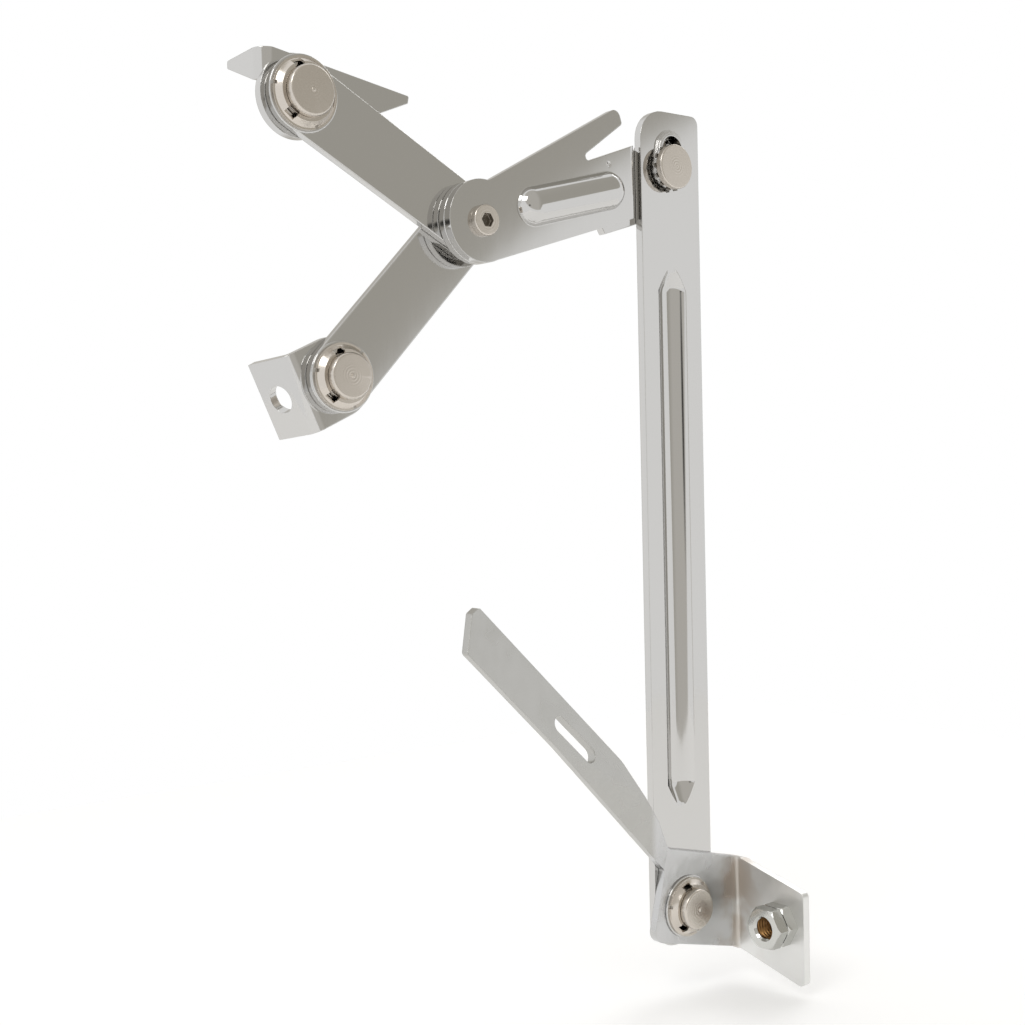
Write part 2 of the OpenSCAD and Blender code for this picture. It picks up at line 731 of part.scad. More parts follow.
// Upper bracket: round end, pointed tail and a tapered flange folded to the back
module upper_bracket() color("silver") placed() {
    y = upper_bracket_y;
    left = -upper_end_r + 0.2;
    tip = [tail_reach, tail_rise];
    tip_under = tip + [-0.4, -tail_tip_h];
    reach = norm(tip_under);
    touch = atan2(tip_under[1], tip_under[0]) - acos(upper_end_r / reach);
    difference() {
        translate([upper_pivot[0], 0, upper_pivot[1]]) {
            plate(y) {
                circle(r = upper_end_r);
                polygon(rounded([[left + bend_out, 0, 0], [left + bend_out, upper_fold_top, 0],
                    [tip[0], tip[1], 0.5], [tip_under[0], tip_under[1], 0.5],
                    [upper_end_r * cos(touch), upper_end_r * sin(touch), 0]]));
            }
            translate([left + bend_out, y + bend_out, upper_fold_low]) rotate(180)
                rotate_extrude(angle = 90) translate([bend_r, 0])
                    square([sheet_t, upper_fold_top - upper_fold_low]);
            translate([left, 0, 0]) rotate([90, 0, 90]) linear_extrude(sheet_t) polygon(rounded([
                [y + bend_out, upper_fold_low, 0], [y + upper_flange, upper_fold_top
                    - upper_flange_tip - 0.5, 0.6],
                [y + upper_flange, upper_fold_top - 0.5, 0.6], [y + bend_out, upper_fold_top, 0]]));
        }
        bar_y(upper_pivot, upper_pin_d + bore_over, y - 1, y + layer);
    }
}

module lower_link() color("silver") placed()
    link(lower_pivot, centre_pivot, lower_link_y, pin_d + bore_over, bush_d + bore_over);
module lower_pin() color("tan") placed()
    headed_pin(lower_pivot, pin_d, lower_link_y, lower_bracket_y + sheet_t);
module lower_pin_washer() color("lightgray") placed()
    clip_washer(lower_pivot, pin_d, lower_link_y);
module lower_pin_clip() color("wheat") placed()
    dished_clip(lower_pivot, pin_d, lower_link_y);

// Lower bracket: a leaning strip with a round end and a drilled flange folded to the back
module lower_bracket() color("silver") placed() {
    y = lower_bracket_y;
    bend_leg = bend_out * tan(lower_bend / 2);
    bend_mid = [-lower_fold + bend_leg, y + bend_out];
    arc = [for (i = [0 : bend_steps]) 270 - lower_bend * i / bend_steps];
    run = polar(lower_flange - bend_leg, 180 - lower_bend);
    hole = bend_mid + polar(bend_out, 270 - lower_bend)
        + polar(lower_hole_at - bend_leg, 180 - lower_bend);
    outer = [for (a = arc) bend_mid + polar(bend_out, a)];
    inner = [for (a = arc) bend_mid + polar(bend_r, a)];
    translate([lower_pivot[0], 0, lower_pivot[1]]) rotate([0, -lower_lean, 0]) difference() {
        union() {
            plate(y) circle(d = lower_w);
            translate([0, 0, -lower_w / 2]) linear_extrude(lower_w)
                polygon([[0, y], each outer, outer[bend_steps] + run, inner[bend_steps] + run,
                    each [for (i = [bend_steps : -1 : 0]) inner[i]], [0, y + sheet_t]]);
        }
        bar_y([0, 0], pin_d + bore_over, y - 1, y + layer);
        translate([hole[0], hole[1], 0]) rotate([0, 90, 270 - lower_bend]) translate([0, 0, -layer - 1])
            cylinder(d = lower_hole_d, h = layer + 2);
    }
}

base_bracket();
weld_nut();
base_pin();
base_pin_washer();
base_pin_clip();
long_strut();
top_pin();
top_lock_washer();
hook_plate();
arm_plate();
centre_screw();
centre_bush();
centre_nut();
upper_link();
upper_pin();
upper_pin_washer();
upper_pin_clip();
upper_bracket();
lower_link();
lower_pin();
lower_pin_washer();
lower_pin_clip();
lower_bracket();
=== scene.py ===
"""Dresses a folding hood support of bright-plated pressed steel for a studio picture."""

import json
import math

import bmesh
import bpy
from bpy.props import FloatProperty, FloatVectorProperty, IntProperty, PointerProperty, StringProperty
from mathutils import Matrix, Vector


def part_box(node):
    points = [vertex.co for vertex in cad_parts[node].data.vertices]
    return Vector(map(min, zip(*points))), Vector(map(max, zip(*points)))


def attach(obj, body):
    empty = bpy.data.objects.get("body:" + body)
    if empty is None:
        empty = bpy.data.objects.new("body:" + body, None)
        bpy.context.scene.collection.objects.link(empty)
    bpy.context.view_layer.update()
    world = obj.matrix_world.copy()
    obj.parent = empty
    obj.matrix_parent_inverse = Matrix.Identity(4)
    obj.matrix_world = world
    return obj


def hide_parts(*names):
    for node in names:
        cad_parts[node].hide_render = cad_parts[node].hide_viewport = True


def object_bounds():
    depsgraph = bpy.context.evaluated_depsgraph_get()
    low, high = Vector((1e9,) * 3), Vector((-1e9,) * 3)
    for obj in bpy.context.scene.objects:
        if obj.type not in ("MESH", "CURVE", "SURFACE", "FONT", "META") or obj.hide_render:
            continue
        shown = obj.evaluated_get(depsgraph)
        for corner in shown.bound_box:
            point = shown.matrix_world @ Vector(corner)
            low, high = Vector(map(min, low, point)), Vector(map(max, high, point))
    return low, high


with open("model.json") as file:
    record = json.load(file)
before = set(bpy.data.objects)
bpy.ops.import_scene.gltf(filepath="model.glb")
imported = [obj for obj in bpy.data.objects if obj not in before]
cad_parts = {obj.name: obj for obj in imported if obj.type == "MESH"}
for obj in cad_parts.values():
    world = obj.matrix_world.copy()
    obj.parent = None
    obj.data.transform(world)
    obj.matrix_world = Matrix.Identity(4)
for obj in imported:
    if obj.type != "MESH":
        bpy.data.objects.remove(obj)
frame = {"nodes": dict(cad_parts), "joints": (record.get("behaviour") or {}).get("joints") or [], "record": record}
cad_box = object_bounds()

bl_info = {
    "name": "Hood Support Dresser",
    "version": (1, 0, 0),
    "blender": (4, 5, 0),
    "location": "View3D > Sidebar > Hood Support",
    "description": "Builds the finished look of a folding hood support around its solids",
    "category": "Object",
}

JOINTS = {joint["name"]: joint for joint in frame["joints"]}
BODIES = frame["record"]["behaviour"]["bodies"]
BODY_OF = {cad_node: body for body, cad_nodes in BODIES.items() for cad_node in cad_nodes}
BASE_PIVOT = Vector(JOINTS["base_pivot"]["pos_m"])
CENTRE_PIVOT = Vector(JOINTS["upper_link_pivot"]["pos_m"])
PIN_CENTRES = {
    "base_pin": BASE_PIVOT,
    "top_pin": Vector(JOINTS["top_pivot"]["pos_m"]),
    "centre_screw": CENTRE_PIVOT,
    "upper_pin": Vector(JOINTS["upper_bracket_pivot"]["pos_m"]),
    "lower_pin": Vector(JOINTS["lower_bracket_pivot"]["pos_m"]),
}

# A real bevel folds over on these plates' thin triangles, so only the shader rounds their edges.
PRESSED = ("long_strut", "upper_bracket", "lower_bracket")
# These plates and washers get real rounded edges as well.
BEVELLED = (
    "arm_plate", "upper_link", "lower_link",
    "base_pin_washer", "upper_pin_washer", "lower_pin_washer",
)

# Where edges aren't really rounded, those that turn by more than this stay sharp.
SHARP = math.radians(28)

# Spot welds on the hook plate, counted from the centre pivot.
WELDS = ((0.0522, 0.0, 0.0226),)
WELD_RADIUS = 0.0011

# The weld nut's plain bore, the rings a turn of its thread is made of, and those it runs out over.
BORE_RADIUS = 0.0034
RINGS_PER_TURN = 4
RUN_OUT_RINGS = 3

# How far from a pin's axis the turned rings and a socket's painted shade reach, and how deep below the socket's
# face the painted shade fades in.
RINGS_RADIUS = 0.0042
SOCKET_RADIUS = 0.0032
SOCKET_SHADE_DEPTH = (0.0002, 0.0012)

# Where the base bracket's colour and blur change, as pairs of X or Y: the stain, the strap's painted shade, and
# the flange's painted light and extra blur.
STAIN_X = (-0.0145, -0.0085)
STAIN_Y = (0.006, 0.018)
STRAP_SHADE_X = (-0.0415, -0.0445)
FLANGE_X = (-0.006, -0.0035)

# Round parts of the room, each as the direction of its middle and the softness of its edge.
DIM_WALL = ((0.0, -0.819, 0.574), 0.02)
LIT_PANEL = ((0.827, -0.495, -0.267), 0.006)
BACK_PATCH = ((0.35, 0.924, 0.15), 0.07)
CAMERA_STAND = ((-0.624, -0.781, 0.032), 0.004)
# The dim wall darkens between these two values of a direction's X.
DARK_END_X = (0.2, 0.52)

# Each lamp's name, place counted from the part's middle, size and power.
LAMPS = (
    ("Key", (-0.86, -0.31, 0.92), 0.5, 3.0),
    ("Fill", (0.9, 0.3, 0.9), 0.5, 2.0),
)


def srgb(code):
    """Turns an sRGB hex colour into linear red, green, blue and alpha."""
    values = [int(code[i:i + 2], 16) / 255 for i in (1, 3, 5)]
    linear = [v / 12.92 if v <= 0.04045 else ((v + 0.055) / 1.055) ** 2.4 for v in values]
    return (*linear, 1.0)


def node(tree, kind, links=None, **settings):
    """Adds a shader node, sets its properties and inputs, and links inputs to other sockets."""
    made = tree.nodes.new(kind)
    for name, value in settings.items():
        if name.startswith("in_"):
            key = name[3:]
            made.inputs[int(key) if key.isdigit() else key.replace("_", " ")].default_value = value
        else:
            setattr(made, name, value)
    for key, socket in (links or {}).items():
        tree.links.new(socket, made.inputs[key])
    return made


class StudioSettings(bpy.types.PropertyGroup):
    """Camera, floor and the surroundings that the plating mirrors."""

    lens: FloatProperty(
        name="Lens", description="Focal length on a 36 mm sensor", default=52.68, unit="CAMERA")
    azimuth: FloatProperty(
        name="Azimuth", description="Side that the camera looks from",
        default=math.radians(-38.58), subtype="ANGLE")
    elevation: FloatProperty(
        name="Elevation", description="Height that the camera looks from",
        default=math.radians(1.846), subtype="ANGLE")
    roll: FloatProperty(
        name="Roll", description="Tilt of the camera about its own axis",
        default=math.radians(-1.294), subtype="ANGLE")
    camera_place: FloatVectorProperty(
        name="Camera place", description="Camera position, counted from the base pivot",
        default=(-0.360006, -0.363442, 0.151691), subtype="TRANSLATION", unit="LENGTH")
    floor_size: FloatProperty(name="Floor", description="Width of the floor", default=0.9, unit="LENGTH")
    floor_gap: FloatProperty(
        name="Floor gap", description="Air under the part's lowest point", default=0.004, unit="LENGTH")
    paper: StringProperty(name="Paper", description="Colour of the floor's paper", default="#EFEFEF")
    floor_glow: FloatProperty(
        name="Floor glow", description="Light that lifts the paper to white, in picture and plating",
        default=0.19)
    room_light: StringProperty(
        name="Room light", description="White walls of the studio", default="#FFFFFF")
    room_dim: StringProperty(
        name="Room dim", description="Unlit walls behind the camera and behind the part",
        default="#D0CDC7")
    room_dark: StringProperty(
        name="Room dark", description="Darkest end of the wall behind the camera", default="#BBB8B0")
    stand: StringProperty(name="Stand", description="Dark camera stand", default="#2B2B2A")
    stand_half_angle: FloatProperty(
        name="Stand half angle", description="Half width of the camera stand",
        default=math.radians(4.5), subtype="ANGLE")
    wall_half_angle: FloatProperty(
        name="Wall half angle", description="Half width of the unlit wall behind the camera",
        default=math.radians(56), subtype="ANGLE")
    back_half_angle: FloatProperty(
        name="Back half angle", description="Half width of the unlit patch on the wall behind the part",
        default=math.radians(36), subtype="ANGLE")
    panel_half_angle: FloatProperty(
        name="Panel half angle", description="Half width of the lit panel in front of the camera's wall",
        default=math.radians(31.1), subtype="ANGLE")


class PlateSettings(bpy.types.PropertyGroup):
    """Pressed sheet parts."""

    edge_radius: FloatProperty(
        name="Edge radius", description="Radius that barrelling and plating leave on sheared edges",
        default=0.00035, precision=5, unit="LENGTH")
    edge_steps: IntProperty(name="Edge steps", description="Facets across a rounded edge", default=3)
    plating: StringProperty(name="Plating", description="Colour of the bright plating", default="#CBCAC8")
    satin_colour: StringProperty(
        name="Satin colour", description="Colour of the base bracket's plating", default="#C8C8C8")
    # Painted shade: the strap's plating is drawn darker than the plate's.
    strap_painted_shade: StringProperty(
        name="Strap colour", description="Plating of the bracket's strap", default="#B6B5B1")
    # Painted light: the flange's plating is drawn lighter than the plate's.
    flange_painted_light: StringProperty(
        name="Flange colour", description="Plating of the bracket's flange", default="#E6E6E4")
    flange_blur: FloatProperty(
        name="Flange blur", description="Blur that the flange's mirror has beyond the plate's", default=0.2)
    stain: StringProperty(
        name="Stain", description="Warm stain beside the base bracket's fold", default="#AE9A84")
    roughness: FloatProperty(name="Roughness", description="Blur of the plating's mirror", default=0.07)
    waviness: FloatProperty(name="Waviness", description="Slow unevenness of rolled sheet", default=0.05)
    satin: FloatProperty(name="Satin", description="Blur of the base bracket's mirror", default=0.24)


class FastenerSettings(bpy.types.PropertyGroup):
    """Pins, clips, screw and nuts."""

    edge_radius: FloatProperty(
        name="Edge radius", description="Radius on turned edges",
        default=0.0001, precision=5, unit="LENGTH")
    nickel: StringProperty(
        name="Nickel", description="Colour of the nickel on pins and clips", default="#CFC8BF")
    turned_blur: FloatProperty(name="Turned blur", description="Blur of the pins' mirror", default=0.26)
    spring_blur: FloatProperty(name="Spring blur", description="Blur of the clips' mirror", default=0.2)
    # Painted shade: a darker colour for the shade inside the screw's recessed socket.
    painted_socket_shade: StringProperty(name="Grime", description="Dirt in the screw's socket", default="#5A544C")
    zinc: StringProperty(name="Zinc", description="Colour of the nuts' plating", default="#C9C9C5")
    zinc_blur: FloatProperty(name="Zinc blur", description="Blur of the nuts' mirror", default=0.14)
    steel: StringProperty(name="Steel", description="Colour of the lock washer", default="#8C8984")
    thread_tint: StringProperty(name="Thread", description="Tint of the oiled thread", default="#8E6C44")
    thread_pitch: FloatProperty(
        name="Thread pitch", description="Pitch of the nut's thread", default=0.00125, unit="LENGTH")
    thread_depth: FloatProperty(
        name="Thread depth", description="Depth of the thread's groove", default=0.0006, unit="LENGTH")
    ring_pitch: FloatProperty(
        name="Ring pitch", description="Spacing of the turned rings, drawn coarser than the real feed",
        default=0.0009, unit="LENGTH")


class HoodSupportSettings(bpy.types.PropertyGroup):
    """All groups of settings."""

    studio: PointerProperty(type=StudioSettings)
    plates: PointerProperty(type=PlateSettings)
    fasteners: PointerProperty(type=FastenerSettings)


def rounded_normal(tree, radius, height, strength, distance):
    """A normal that rounds sheared edges, with a bump on top."""
    soft = node(tree, "ShaderNodeBevel", samples=6, in_Radius=radius)
    bump = node(tree, "ShaderNodeBump", {"Height": height, "Normal": soft.outputs[0]},
                in_Strength=strength, in_Distance=distance)
    return bump.outputs[0]


def per_metre(millimetres):
    """Texture scale at which a pattern repeats at about this size."""
    return 1000.0 / millimetres


def metal(name, colour, roughness):
    """Starts a metal: returns the material, its tree and its shader. Where a pattern varies the
    roughness, the value given here is about its middle."""
    made = bpy.data.materials.new(name)
    made.use_nodes = True
    shader = made.node_tree.nodes["Principled BSDF"]
    shader.inputs["Base Color"].default_value = srgb(colour)
    shader.inputs["Metallic"].default_value = 1.0
    shader.inputs["Roughness"].default_value = roughness
    return made, made.node_tree, shader


def near_point(tree, coords, place, radius):
    """One inside a ball round a place, falling to nothing at its edge."""
    gap = node(tree, "ShaderNodeVectorMath", {0: coords}, operation="DISTANCE", in_1=tuple(place))
    return node(tree, "ShaderNodeMapRange", {"Value": gap.outputs["Value"]},
                interpolation_type="SMOOTHSTEP", in_From_Min=radius, in_From_Max=radius * 0.35).outputs[0]


def bright_plating(name, colour, roughness, wave, edge, dimples=()):
    """Bright nickel on cold-rolled sheet, or bright zinc on turned steel: a mirror with slow waviness,
    faint rubs and weld dimples."""
    made, tree, shader = metal(name, colour, roughness)
    coords = node(tree, "ShaderNodeTexCoord").outputs["Object"]
    slow = node(tree, "ShaderNodeTexNoise", {"Vector": coords}, in_Scale=per_metre(22), in_Detail=2.0)
    # Polishing rubs run upwards, about 0.8 mm apart and 11 mm long.
    rubs = node(tree, "ShaderNodeMapping", {"Vector": coords},
                in_Scale=(per_metre(0.8), per_metre(0.8), per_metre(11)))
    fine = node(tree, "ShaderNodeTexNoise", {"Vector": rubs.outputs[0]}, in_Scale=1.0, in_Detail=3.0)
    rough = node(tree, "ShaderNodeMapRange", {"Value": fine.outputs["Fac"]},
                 in_From_Min=0.35, in_From_Max=0.7, in_To_Min=roughness * 0.93, in_To_Max=roughness * 1.1)
    tree.links.new(rough.outputs[0], shader.inputs["Roughness"])
    waves = node(tree, "ShaderNodeMath", {0: slow.outputs["Fac"]}, operation="MULTIPLY", in_1=wave)
    height = waves.outputs[0]
    for place in dimples:
        pit = near_point(tree, coords, place, WELD_RADIUS)
        height = node(tree, "ShaderNodeMath", {0: height, 1: pit}, operation="SUBTRACT").outputs[0]
    normal = rounded_normal(tree, edge, height, strength=1.0, distance=0.0004)
    tree.links.new(normal, shader.inputs["Normal"])
    return made


def satin_nickel_sheet(name, sizes):
    """Duller nickel on the folded sheet: soft smudges, a fine grain and a warm stain at the fold.
    The strap is painted darker than the plate, as painted shade, and the flange lighter, as painted light; the
    flange also mirrors with the most blur."""
    roughness = sizes.satin
    made, tree, shader = metal(name, sizes.satin_colour, roughness)
    coords = node(tree, "ShaderNodeTexCoord").outputs["Object"]
    slow = node(tree, "ShaderNodeTexNoise", {"Vector": coords}, in_Scale=per_metre(11), in_Detail=2.0)
    # The grain is drawn at 1.2 mm, coarser than the real one, so that it shows.
    grain = node(tree, "ShaderNodeTexNoise", {"Vector": coords}, in_Scale=per_metre(1.2), in_Detail=3.0)
    place = node(tree, "ShaderNodeSeparateXYZ", {"Vector": coords})
    beside = node(tree, "ShaderNodeMapRange", {"Value": place.outputs["X"]},
                  interpolation_type="SMOOTHSTEP", in_From_Min=STAIN_X[0], in_From_Max=STAIN_X[1])
    rear = node(tree, "ShaderNodeMapRange", {"Value": place.outputs["Y"]},
                interpolation_type="SMOOTHSTEP", in_From_Min=STAIN_Y[0], in_From_Max=STAIN_Y[1])
    patchy = node(tree, "ShaderNodeMapRange", {"Value": slow.outputs["Fac"]},
                  interpolation_type="SMOOTHSTEP", in_From_Min=0.4, in_From_Max=0.6, in_To_Max=0.45)
    near = node(tree, "ShaderNodeMath", {0: beside.outputs[0], 1: rear.outputs[0]}, operation="MULTIPLY")
    amount = node(tree, "ShaderNodeMath", {0: near.outputs[0], 1: patchy.outputs[0]}, operation="MULTIPLY")
    # Painted shade on the strap and painted light on the flange, mixed over the plating's colour.
    strap = node(tree, "ShaderNodeMapRange", {"Value": place.outputs["X"]},
                 in_From_Min=STRAP_SHADE_X[0], in_From_Max=STRAP_SHADE_X[1])
    flange = node(tree, "ShaderNodeMapRange", {"Value": place.outputs["X"]},
                  in_From_Min=FLANGE_X[0], in_From_Max=FLANGE_X[1])
    tint = node(tree, "ShaderNodeMix", {"Factor": strap.outputs[0]}, data_type="RGBA",
                in_6=srgb(sizes.satin_colour), in_7=srgb(sizes.strap_painted_shade))
    tint = node(tree, "ShaderNodeMix", {"Factor": flange.outputs[0], 6: tint.outputs[2]}, data_type="RGBA",
                in_7=srgb(sizes.flange_painted_light))
    tint = node(tree, "ShaderNodeMix", {"Factor": amount.outputs[0], 6: tint.outputs[2]}, data_type="RGBA",
                in_7=srgb(sizes.stain))
    tree.links.new(tint.outputs[2], shader.inputs["Base Color"])
    rough = node(tree, "ShaderNodeMapRange", {"Value": slow.outputs["Fac"]},
                 in_From_Min=0.35, in_From_Max=0.65, in_To_Min=roughness * 0.75, in_To_Max=roughness * 1.25)
    duller = node(tree, "ShaderNodeMath", {0: flange.outputs[0], 2: rough.outputs[0]},
                  operation="MULTIPLY_ADD", in_1=sizes.flange_blur)
    tree.links.new(duller.outputs[0], shader.inputs["Roughness"])
    fine = node(tree, "ShaderNodeMath", {0: grain.outputs["Fac"]}, operation="MULTIPLY", in_1=0.05)
    height = node(tree, "ShaderNodeMath", {0: slow.outputs["Fac"], 1: fine.outputs[0]}, operation="ADD")
    normal = rounded_normal(tree, sizes.edge_radius, height.outputs[0], strength=1.0, distance=0.00035)
    tree.links.new(normal, shader.inputs["Normal"])
    return made


def turned_nickel(name, sizes, centre, socket_face=None):
    """Nickel on turned steel: satin, with rings round the pin's axis, which lies along Y. A socket gets painted
    shade: a darker colour behind the Y of its face."""
    made, tree, shader = metal(name, sizes.nickel, sizes.turned_blur)
    coords = node(tree, "ShaderNodeTexCoord").outputs["Object"]
    moved = node(tree, "ShaderNodeMapping", {"Vector": coords},
                 in_Location=(-centre.x, 0.0, -centre.z), in_Scale=(1.0, 0.0, 1.0))
    rings = node(tree, "ShaderNodeTexWave", {"Vector": moved.outputs[0]}, wave_type="RINGS",
                 rings_direction="Y", in_Scale=math.pi / (10 * sizes.ring_pitch), in_Distortion=0.4,
                 in_Detail=1.0, in_Detail_Scale=1.0)
    # Only the tool's last turns, near the centre, are deep enough to see.
    axis = node(tree, "ShaderNodeMapping", {"Vector": coords}, in_Scale=(1.0, 0.0, 1.0))
    middle = (centre.x, 0.0, centre.z)
    inner = near_point(tree, axis.outputs[0], middle, RINGS_RADIUS)
    height = node(tree, "ShaderNodeMath", {0: rings.outputs["Fac"], 1: inner}, operation="MULTIPLY")
    normal = rounded_normal(tree, 0.00015, height.outputs[0], strength=0.24, distance=0.00006)
    tree.links.new(normal, shader.inputs["Normal"])
    if socket_face is not None:
        # Painted shade in the socket: the colour darkens behind its face and near the axis.
        depth = node(tree, "ShaderNodeSeparateXYZ", {"Vector": coords})
        below = node(tree, "ShaderNodeMapRange", {"Value": depth.outputs["Y"]},
                     in_From_Min=socket_face + SOCKET_SHADE_DEPTH[0], in_From_Max=socket_face + SOCKET_SHADE_DEPTH[1])
        within = near_point(tree, axis.outputs[0], middle, SOCKET_RADIUS)
        painted_socket_shade = node(tree, "ShaderNodeMath", {0: below.outputs[0], 1: within}, operation="MULTIPLY")
        tint = node(tree, "ShaderNodeMix", {"Factor": painted_socket_shade.outputs[0]}, data_type="RGBA",
                    in_6=srgb(sizes.nickel), in_7=srgb(sizes.painted_socket_shade))
        tree.links.new(tint.outputs[2], shader.inputs["Base Color"])
    return made


def stamped_spring(name, colour, roughness):
    """Stamped spring steel, plated or bare: satin, with a fine grain."""
    made, tree, shader = metal(name, colour, roughness)
    coords = node(tree, "ShaderNodeTexCoord").outputs["Object"]
    # The grain is drawn at 0.9 mm, coarser than the real one, so that it shows.
    grain = node(tree, "ShaderNodeTexNoise", {"Vector": coords}, in_Scale=per_metre(0.9), in_Detail=2.0)
    rough = node(tree, "ShaderNodeMapRange", {"Value": grain.outputs["Fac"]},
                 in_To_Min=roughness * 0.7, in_To_Max=roughness * 1.3)
    tree.links.new(rough.outputs[0], shader.inputs["Roughness"])
    normal = rounded_normal(tree, 0.00012, grain.outputs["Fac"], strength=0.08, distance=0.00005)
    tree.links.new(normal, shader.inputs["Normal"])
    return made


def oiled_thread(name, colour):
    """A thread that the plating doesn't reach: brownish, with patches of oil film 1.1 mm wide."""
    made, tree, shader = metal(name, colour, 0.35)
    coords = node(tree, "ShaderNodeTexCoord").outputs["Object"]
    film = node(tree, "ShaderNodeTexNoise", {"Vector": coords}, in_Scale=per_metre(1.1), in_Detail=3.0)
    rough = node(tree, "ShaderNodeMapRange", {"Value": film.outputs["Fac"]}, in_To_Min=0.2, in_To_Max=0.55)
    tree.links.new(rough.outputs[0], shader.inputs["Roughness"])
    return made


def copy_of_solid(name, cad_node, material, radius=0.0, steps=3):
    """A merged copy of a CAD node whose flat faces shade flat. With a radius its edges are really
    rounded."""
    mesh = frame["nodes"][cad_node].data.copy()
    mesh.name = name
    piece = bpy.data.objects.new(name, mesh)
    bpy.context.scene.collection.objects.link(piece)
    shape = bmesh.new()
    shape.from_mesh(mesh)
    bmesh.ops.remove_doubles(shape, verts=shape.verts, dist=0.000002)
    bmesh.ops.dissolve_degenerate(shape, dist=0.00002, edges=shape.edges)
    bmesh.ops.recalc_face_normals(shape, faces=shape.faces)
    bmesh.ops.dissolve_limit(shape, angle_limit=0.0005, verts=shape.verts, edges=shape.edges)
    for face in shape.faces:
        face.smooth = True
    for edge in shape.edges:
        edge.smooth = radius > 0 or edge.calc_face_angle(0.0) < SHARP
    shape.to_mesh(mesh)
    shape.free()
    if "custom_normal" in mesh.attributes:
        mesh.attributes.remove(mesh.attributes["custom_normal"])
    mesh.materials.clear()
    mesh.materials.append(material)
    if radius > 0:
        bevel = piece.modifiers.new("Rounded edges", "BEVEL")
        bevel.width = radius
        bevel.segments = steps
        bevel.limit_method = "ANGLE"
        bevel.angle_limit = math.radians(60)
        bevel.use_clamp_overlap = False
    flat = piece.modifiers.new("Flat faces stay flat", "WEIGHTED_NORMAL")
    flat.mode = "FACE_AREA"
    flat.weight = 60
    flat.keep_sharp = True
    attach(piece, BODY_OF[cad_node])
    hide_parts(cad_node)
    return piece


class HOOD_OT_plates(bpy.types.Operator):
    """Dress the strut, the arm's plates, the links and the small brackets"""

    bl_idname = "hood.plates"
    bl_label = "Plates"

    def execute(self, context):
        sizes = context.scene.hood_support.plates
        edge = sizes.edge_radius
        plating = bright_plating("Bright nickel on pressed steel", sizes.plating, sizes.roughness,
                                 sizes.waviness, edge)
        for cad_node in PRESSED:
            copy_of_solid(cad_node + "_plated", cad_node, plating)
        for cad_node in BEVELLED:
            copy_of_solid(cad_node + "_plated", cad_node, plating, edge, sizes.edge_steps)
        dimples = [CENTRE_PIVOT + Vector(place) for place in WELDS]
        welded = bright_plating("Bright nickel with weld dimples", sizes.plating, sizes.roughness,
                                sizes.waviness, edge, dimples)
        copy_of_solid("hook_plate_plated", "hook_plate", welded)
        return {"FINISHED"}


class HOOD_OT_base(bpy.types.Operator):
    """Dress the folded base bracket"""

    bl_idname = "hood.base"
    bl_label = "Base bracket"

    def execute(self, context):
        sizes = context.scene.hood_support.plates
        satin = satin_nickel_sheet("Satin nickel on folded steel", sizes)
        copy_of_solid("base_bracket_plated", "base_bracket", satin)
        return {"FINISHED"}


class HOOD_OT_pins(bpy.types.Operator):
    """Dress the turned pins and the centre screw"""

    bl_idname = "hood.pins"
    bl_label = "Pins"

    def execute(self, context):
        sizes = context.scene.hood_support.fasteners
        for cad_node, centre in PIN_CENTRES.items():
            socket_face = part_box(cad_node)[0].y if cad_node == "centre_screw" else None
            finish = turned_nickel("Nickel on turned steel " + cad_node, sizes, centre, socket_face)
            copy_of_solid(cad_node + "_turned", cad_node, finish, sizes.edge_radius, steps=2)
        finish = turned_nickel("Nickel on turned bush", sizes, CENTRE_PIVOT)
        copy_of_solid("centre_bush_turned", "centre_bush", finish)
        return {"FINISHED"}


class HOOD_OT_clips(bpy.types.Operator):
    """Dress the spring clips and the lock washer"""

    bl_idname = "hood.clips"
    bl_label = "Clips"

    def execute(self, context):
        sizes = context.scene.hood_support.fasteners
        spring = stamped_spring("Nickel on spring steel", sizes.nickel, sizes.spring_blur)
        for cad_node in ("base_pin_clip", "upper_pin_clip", "lower_pin_clip"):
            copy_of_solid(cad_node + "_sprung", cad_node, spring)
        plain = stamped_spring("Plain spring steel", sizes.steel, sizes.spring_blur)
        copy_of_solid("top_lock_washer_sprung", "top_lock_washer", plain)
        return {"FINISHED"}


